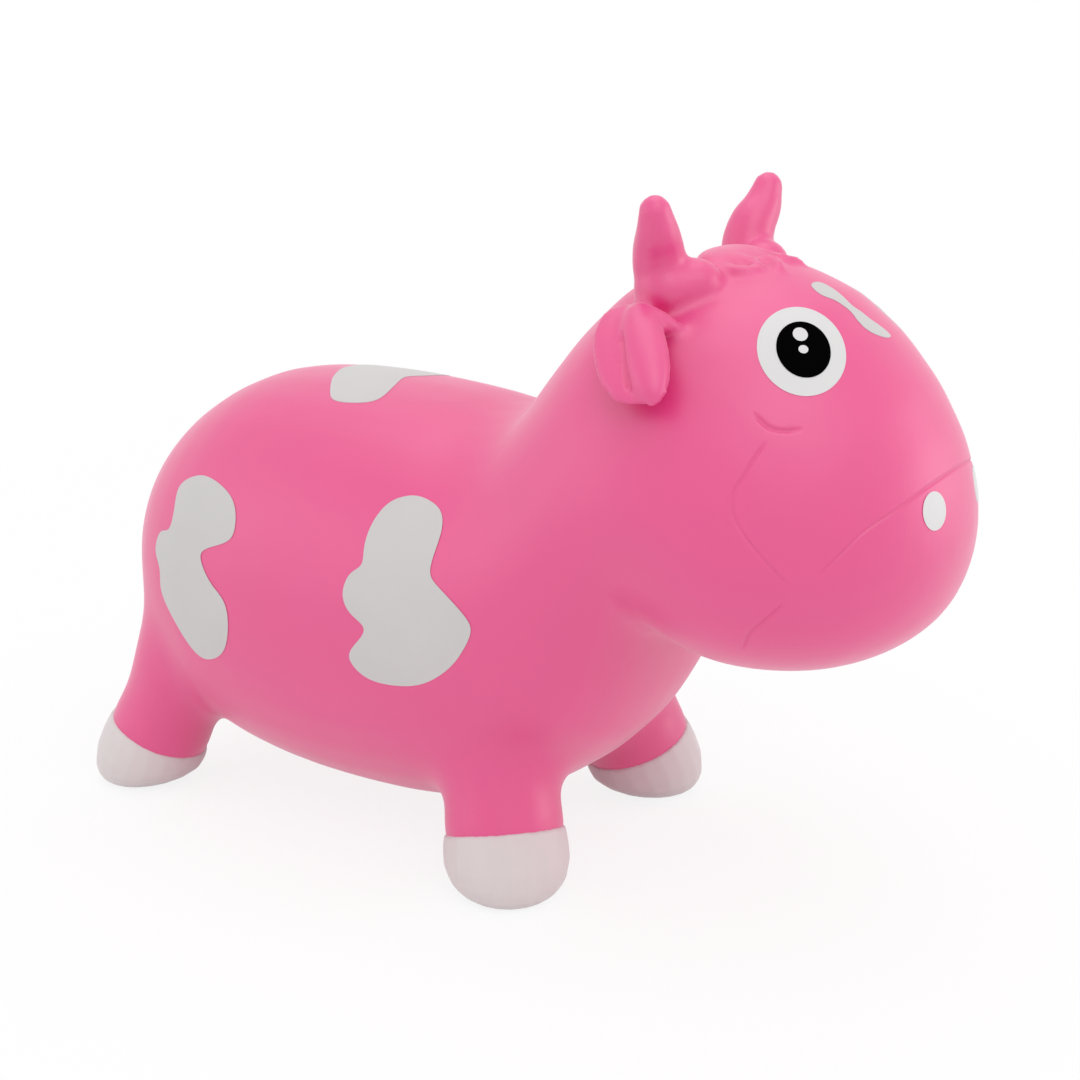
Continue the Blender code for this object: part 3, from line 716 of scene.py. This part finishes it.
def paintMarks(source):
    tree = treeOf(source)
    films = []
    for name, key, coat, body, slotName, node in (
        ("eye_paint", "eyeWhite", 0, "head", "paint_white", "eye_white"),
        ("pupil_paint", "eyePupil", 1, "head", "paint_black", "eye_pupil"),
        ("large_glint_paint", "largeGlint", 2, "head", "paint_white", "eye_glint_large"),
        ("small_glint_paint", "smallGlint", 2, "head", "paint_white", "eye_glint_small"),
        ("nostril_paint", "nostril", 0, "head", "paint_white", "nostril"),
        ("flank_patch_paint", "flank", 0, "trunk", "patch_grey", "patch_flank"),
        ("haunch_patch_paint", "haunch", 0, "trunk", "patch_grey", "patch_haunch"),
    ):
        pixels = roundOutline(key) if key in paint["rounds"] else paint[key]
        outline = [hitPlace(tree, pixel) for pixel in pixels]
        facing = (camera.location - sum(outline, Vector()) / len(outline)).normalized()
        right = paintFilm(name + "_right", source, outline, facing, paint["lifts"][coat])
        left = mirroredCopy(name + "_left", right)
        for film, sideName in ((right, "right"), (left, "left")):
            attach(film, body)
            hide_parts(node + "_" + sideName)
            films.append((film, slotName))
    for name, key, facing, body, node in (
        ("back_patch_paint", "back", Vector((0.0, 0.0, 1.0)), "trunk", "patch_back"),
        ("forehead_patch_paint", "forehead", Vector((0.55, 0.0, 0.835)).normalized(), "head", "patch_forehead"),
    ):
        if key == "back":                        # written in x and y, as part of it lies out of sight
            outline = [tree.ray_cast(Vector((x, y, 1.0)), Vector((0.0, 0.0, -1.0)))[0] for x, y in paint[key]]
        else:
            outline = [hitPlace(tree, pixel) for pixel in paint[key]]
        film = paintFilm(name, source, outline, facing, paint["lifts"][0])
        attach(film, body)
        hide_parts(node)
        films.append((film, "patch_grey"))
    return films


films = paintMarks(skin)
print("painted", len(films), "marks")

# where the skin is parted into pieces

neckCut = {
    "place": Vector((0.0766, 0.0, 0.2155)),      # middle of the front of the neck
    "along": Vector((0.9305, 0.0, 0.3663)),      # from the torso to the head
    "bend": 0.045,               # length over which it bends
    "cutReach": 1.0,
    "nose": Vector((0.300, 0.0, 0.25)),
}


def cutOff(thing, name, place, along, seed, reach):
    # what hangs together with the seed beyond a plane becomes a piece of its own, with a clean edge
    inEditMode(
        thing, lambda face: (face.center - place).length < reach,
        lambda: bpy.ops.mesh.bisect(plane_co=place, plane_no=along, use_fill=False),
    )
    inEditMode(
        thing, lambda face: (face.center - place).dot(along) < 0 or (face.center - place).length > reach,
        lambda: bpy.ops.mesh.hide(unselected=False),
    )
    first = min(thing.data.polygons, key=lambda face: (face.center - seed).length)
    before = set(bpy.data.objects)
    inEditMode(
        thing, lambda face: face.index == first.index,
        lambda: bpy.ops.mesh.select_linked(delimit=set()),
        lambda: bpy.ops.mesh.separate(type="SELECTED"),
        lambda: bpy.ops.mesh.reveal(select=False),
    )
    piece = (set(bpy.data.objects) - before).pop()
    piece.name = name
    piece.data.name = name
    return piece


def closeCuts(thing):
    # flat lids inside the object, where its neighbour sits against it
    whole = len(thing.data.polygons)
    inEditMode(
        thing, lambda face: False,
        lambda: bpy.ops.mesh.select_mode(type="EDGE"),
        lambda: bpy.ops.mesh.select_all(action="SELECT"),
        lambda: bpy.ops.mesh.fill_holes(sides=0),
    )
    for face in thing.data.polygons:
        face.use_smooth = face.index < whole


def keepNormals(piece, wholeSkin):
    # shading runs on over the cuts as on the whole skin
    applyModifier(
        piece, "DATA_TRANSFER", object=wholeSkin, use_loop_data=True, data_types_loops={"CUSTOM_NORMAL"},
        loop_mapping="POLYINTERP_NEAREST",
    )


shadeSmooth(skin)
wholeSkin = copyOf(skin, "wholeSkin")
headSkin = cutOff(skin, "head_skin", neckCut["place"], neckCut["along"], neckCut["nose"], neckCut["cutReach"])
bodySkin = skin
bodySkin.name = "body_skin"
horns = {}
ears = {}
for sideName, side in (("right", -1), ("left", 1)):
    hornPlace = onSide(hornSizes["split"], side)
    hornAlong = onSide(hornSizes["along"], side)
    hornTip = onSide(Vector(hornSizes["path"][-1]), side)
    horns[sideName] = cutOff(
        headSkin, "horn_skin_" + sideName, hornPlace, hornAlong, hornTip, hornSizes["cutReach"])
    earDown = earAxes(side)[0]
    earTop = onSide(earSizes["split"], side)
    earTip = onSide(earSizes["lobes"][0][0], side) + earDown * earSizes["lobes"][0][1]
    ears[sideName] = cutOff(headSkin, "ear_skin_" + sideName, earTop, earDown, earTip, earSizes["cutReach"])
    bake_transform(horns[sideName])
    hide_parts("horn_" + sideName)
    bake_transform(ears[sideName])
    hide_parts("ear_" + sideName)
    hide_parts("horn_root_" + sideName, "ear_root_" + sideName)
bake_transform(headSkin)
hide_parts("head_shell", "hair_tuft")
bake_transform(bodySkin)
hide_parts("torso_shell", "neck_shell")
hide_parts("leg_front_right", "leg_front_left", "leg_rear_right", "leg_rear_left")
skinPieces = [bodySkin, headSkin] + list(horns.values()) + list(ears.values())
for piece in skinPieces:
    closeCuts(piece)
    keepNormals(piece, wholeSkin)
bpy.data.objects.remove(wholeSkin)
print("skin parted into", [(piece.name, len(piece.data.polygons)) for piece in skinPieces])

# hooves: smooth white feet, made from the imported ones

hoofSizes = {
    "merge": 0.0002,
    "flat": math.radians(1.0),
    "voxel": 0.0012,
    "repeats": 16,
    "grow": 0.0005,
}


def buildHoof(name):
    hoof = nodeCopy(name + "_skin", name)
    inEditMode(
        hoof, everyFace,
        lambda: bpy.ops.mesh.remove_doubles(threshold=hoofSizes["merge"]),
        lambda: bpy.ops.mesh.dissolve_limited(angle_limit=hoofSizes["flat"]),
        lambda: bpy.ops.mesh.tris_convert_to_quads(),
    )
    voxelSkin(hoof, hoofSizes["voxel"])
    soften(hoof, hoofSizes["repeats"])
    applyModifier(hoof, "DISPLACE", strength=hoofSizes["grow"], mid_level=0.0)
    lowest = min(vertex.co.z for vertex in hoof.data.vertices)
    hoof.data.transform(Matrix.Translation((0.0, 0.0, -lowest)))
    shadeSmooth(hoof)
    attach(hoof, "feet")
    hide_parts(name)
    return hoof


hooves = [buildHoof("hoof_" + end + "_" + sideName) for end in ("front", "rear") for sideName in ("right", "left")]
print("hooves", [len(hoof.data.polygons) for hoof in hooves])

# finishes

grainSizes = {
    "inputs": {"Mottle Scale": 18.0, "Peel Scale": 420.0, "Low Roughness": 0.40, "High Roughness": 0.50},
    "mottleDetail": 3.0,
    "peelDetail": 2.0,
    "peelStrength": 0.5,
    "sheenRoughness": 0.40,
}


def makeVinylGrain():
    # faint mottling and orange peel of moulded vinyl, as values that change over the surface
    group = bpy.data.node_groups.new("vinylGrain", "ShaderNodeTree")
    for name, default in grainSizes["inputs"].items():
        socket = group.interface.new_socket(name=name, in_out="INPUT", socket_type="NodeSocketFloat")
        socket.default_value = default
    for name in ("Mottle", "Roughness", "Peel"):
        group.interface.new_socket(name=name, in_out="OUTPUT", socket_type="NodeSocketFloat")
    add = group.nodes.new
    link = group.links.new
    given = add("NodeGroupInput")
    result = add("NodeGroupOutput")
    place = add("ShaderNodeTexCoord")
    mottle = add("ShaderNodeTexNoise")
    mottle.inputs["Detail"].default_value = grainSizes["mottleDetail"]
    peel = add("ShaderNodeTexNoise")
    peel.inputs["Detail"].default_value = grainSizes["peelDetail"]
    spread = add("ShaderNodeMapRange")
    link(place.outputs["Object"], mottle.inputs["Vector"])
    link(place.outputs["Object"], peel.inputs["Vector"])
    link(given.outputs["Mottle Scale"], mottle.inputs["Scale"])
    link(given.outputs["Peel Scale"], peel.inputs["Scale"])
    link(mottle.outputs["Fac"], spread.inputs["Value"])
    link(given.outputs["Low Roughness"], spread.inputs["To Min"])
    link(given.outputs["High Roughness"], spread.inputs["To Max"])
    link(mottle.outputs["Fac"], result.inputs["Mottle"])
    link(spread.outputs["Result"], result.inputs["Roughness"])
    link(peel.outputs["Fac"], result.inputs["Peel"])
    return group


vinylGrain = makeVinylGrain()

finishes = {
    "skinPink": {"shade": (0.71, 0.016, 0.194), "light": (0.75, 0.021, 0.207), "roughness": (0.40, 0.50),
                 "peel": 0.00002, "sheen": 0.35, "specular": 0.85, "ior": 1.7},
    "hoofWhite": {"shade": (0.64, 0.58, 0.58), "light": (0.70, 0.64, 0.64), "roughness": (0.42, 0.52),
                  "peel": 0.00002, "sheen": 0.10, "specular": 0.50, "ior": 1.5},
    "patchGrey": {"shade": (0.545, 0.53, 0.525), "light": (0.595, 0.575, 0.57), "roughness": (0.44, 0.54),
                  "peel": 0.00002, "sheen": 0.10, "specular": 0.40, "ior": 1.5},
    "paintWhite": {"shade": (0.64, 0.63, 0.63), "light": (0.68, 0.67, 0.67), "roughness": (0.34, 0.42),
                   "peel": 0.00001, "sheen": 0.0, "specular": 0.40, "ior": 1.5},
    "paintBlack": {"shade": (0.001, 0.001, 0.001), "light": (0.002, 0.002, 0.002), "roughness": (0.50, 0.60),
                   "peel": 0.00001, "sheen": 0.0, "specular": 0.0, "ior": 1.3},
    "valveWhite": {"shade": (0.68, 0.67, 0.66), "light": (0.73, 0.72, 0.71), "roughness": (0.30, 0.38),
                   "peel": 0.00001, "sheen": 0.0, "specular": 0.50, "ior": 1.5},
}


def makeVinyl(name):
    finish = finishes[name]
    material = bpy.data.materials.new(name)
    material.use_nodes = True
    material.diffuse_color = (*finish["light"], 1.0)
    add = material.node_tree.nodes.new
    link = material.node_tree.links.new
    surface = material.node_tree.nodes["Principled BSDF"]
    grain = add("ShaderNodeGroup")
    grain.node_tree = vinylGrain
    grain.inputs["Low Roughness"].default_value = finish["roughness"][0]
    grain.inputs["High Roughness"].default_value = finish["roughness"][1]
    tint = add("ShaderNodeMix")
    tint.data_type = "RGBA"
    tint.inputs["A"].default_value = (*finish["shade"], 1.0)
    tint.inputs["B"].default_value = (*finish["light"], 1.0)
    bump = add("ShaderNodeBump")
    bump.inputs["Strength"].default_value = grainSizes["peelStrength"]
    bump.inputs["Distance"].default_value = finish["peel"]
    link(grain.outputs["Mottle"], tint.inputs["Factor"])
    link(tint.outputs["Result"], surface.inputs["Base Color"])
    link(grain.outputs["Roughness"], surface.inputs["Roughness"])
    link(grain.outputs["Peel"], bump.inputs["Height"])
    link(bump.outputs["Normal"], surface.inputs["Normal"])
    surface.inputs["Specular IOR Level"].default_value = finish["specular"]
    surface.inputs["IOR"].default_value = finish["ior"]
    surface.inputs["Sheen Weight"].default_value = finish["sheen"]
    surface.inputs["Sheen Roughness"].default_value = grainSizes["sheenRoughness"]
    return material


vinyls = {name: makeVinyl(name) for name in finishes}
finishOfSlot = {"paint_white": "paintWhite", "paint_black": "paintBlack", "patch_grey": "patchGrey"}


def dress(thing, finish):
    thing.data.materials.clear()
    thing.data.materials.append(vinyls[finish])


for piece in skinPieces:
    dress(piece, "skinPink")
for hoof in hooves:
    dress(hoof, "hoofWhite")
for film, slotName in films:
    dress(film, finishOfSlot[slotName])
for name in ("valve_seat", "valve_plug"):
    for slot in nodes[name].material_slots:
        slot.material = vinyls["valveWhite"]
print("finishes", sorted(vinyls))

# studio: pale floor, white surroundings, four broad soft lamps

studio = {
    "floorSize": 40.0,
    "floorColour": (0.93, 0.93, 0.93, 1.0),
    "floorRoughness": 0.9,
    "floorGlow": (0.84, 1.0),        # near the object and far from it
    "glowSpread": (0.45, 1.60),      # distance from the object over which it grows
    "surroundings": 0.88,
    "lamps": (                   # place, size, power
        ((0.90, -0.70, 1.50), 1.2, 3.5),
        ((-1.40, -1.30, 0.80), 1.4, 2.5),
        ((1.50, 0.90, 0.50), 1.0, 4.0),
        ((-0.10, 0.20, 1.90), 1.5, 5.0),
    ),
    "aim": Vector((0.02, 0.0, 0.20)),
}


def seenWhite(tree):
    # 1 for what the camera sees, directly or mirrored or through glass
    path = tree.nodes.new("ShaderNodeLightPath")
    either = tree.nodes.new("ShaderNodeMath")
    either.operation = "MAXIMUM"
    tree.links.new(path.outputs["Is Camera Ray"], either.inputs[0])
    tree.links.new(path.outputs["Is Glossy Ray"], either.inputs[1])
    both = tree.nodes.new("ShaderNodeMath")
    both.operation = "MAXIMUM"
    tree.links.new(either.outputs[0], both.inputs[0])
    tree.links.new(path.outputs["Is Transmission Ray"], both.inputs[1])
    return both.outputs[0]


def buildFloor():
    pickNothing()
    bpy.ops.mesh.primitive_plane_add(size=studio["floorSize"], location=(0.0, 0.0, 0.0))
    floor = bpy.context.object
    floor.name = "studio_floor"
    material = bpy.data.materials.new("studioFloor")
    material.use_nodes = True
    tree = material.node_tree
    surface = tree.nodes["Principled BSDF"]
    surface.inputs["Base Color"].default_value = studio["floorColour"]
    surface.inputs["Roughness"].default_value = studio["floorRoughness"]
    surface.inputs["Specular IOR Level"].default_value = 0.0
    glow = tree.nodes.new("ShaderNodeEmission")
    glow.inputs["Color"].default_value = (1.0, 1.0, 1.0, 1.0)
    share = tree.nodes.new("ShaderNodeMath")
    share.operation = "MULTIPLY"
    place = tree.nodes.new("ShaderNodeTexCoord")
    away = tree.nodes.new("ShaderNodeVectorMath")
    away.operation = "LENGTH"
    fade = tree.nodes.new("ShaderNodeMapRange")
    ends = zip(("From Min", "From Max", "To Min", "To Max"), studio["glowSpread"] + studio["floorGlow"])
    for name, value in ends:
        fade.inputs[name].default_value = value
    tree.links.new(place.outputs["Object"], away.inputs[0])
    tree.links.new(away.outputs["Value"], fade.inputs["Value"])
    tree.links.new(fade.outputs["Result"], share.inputs[1])
    mixed = tree.nodes.new("ShaderNodeMixShader")
    tree.links.new(seenWhite(tree), share.inputs[0])
    tree.links.new(share.outputs[0], mixed.inputs[0])
    tree.links.new(surface.outputs[0], mixed.inputs[1])
    tree.links.new(glow.outputs[0], mixed.inputs[2])
    tree.links.new(mixed.outputs[0], tree.nodes["Material Output"].inputs["Surface"])
    floor.data.materials.append(material)


def buildSurroundings():
    world = bpy.data.worlds.new("studioWorld")
    bpy.context.scene.world = world
    world.use_nodes = True
    tree = world.node_tree
    ambient = tree.nodes["Background"]
    ambient.inputs["Color"].default_value = (1.0, 1.0, 1.0, 1.0)
    strength = tree.nodes.new("ShaderNodeMapRange")
    strength.inputs["To Min"].default_value = studio["surroundings"]
    strength.inputs["To Max"].default_value = 1.0
    tree.links.new(seenWhite(tree), strength.inputs["Value"])
    tree.links.new(strength.outputs["Result"], ambient.inputs["Strength"])


def buildLamps():
    for place, size, power in studio["lamps"]:
        pickNothing()
        bpy.ops.object.light_add(type="AREA", location=place)
        lamp = bpy.context.object
        lamp.data.shape = "DISK"
        lamp.data.size = size
        lamp.data.energy = power
        lamp.rotation_euler = (studio["aim"] - Vector(place)).to_track_quat("-Z", "Y").to_euler()


buildFloor()
buildSurroundings()
buildLamps()
bpy.context.scene.view_settings.view_transform = "Standard"
print("studio is lit")
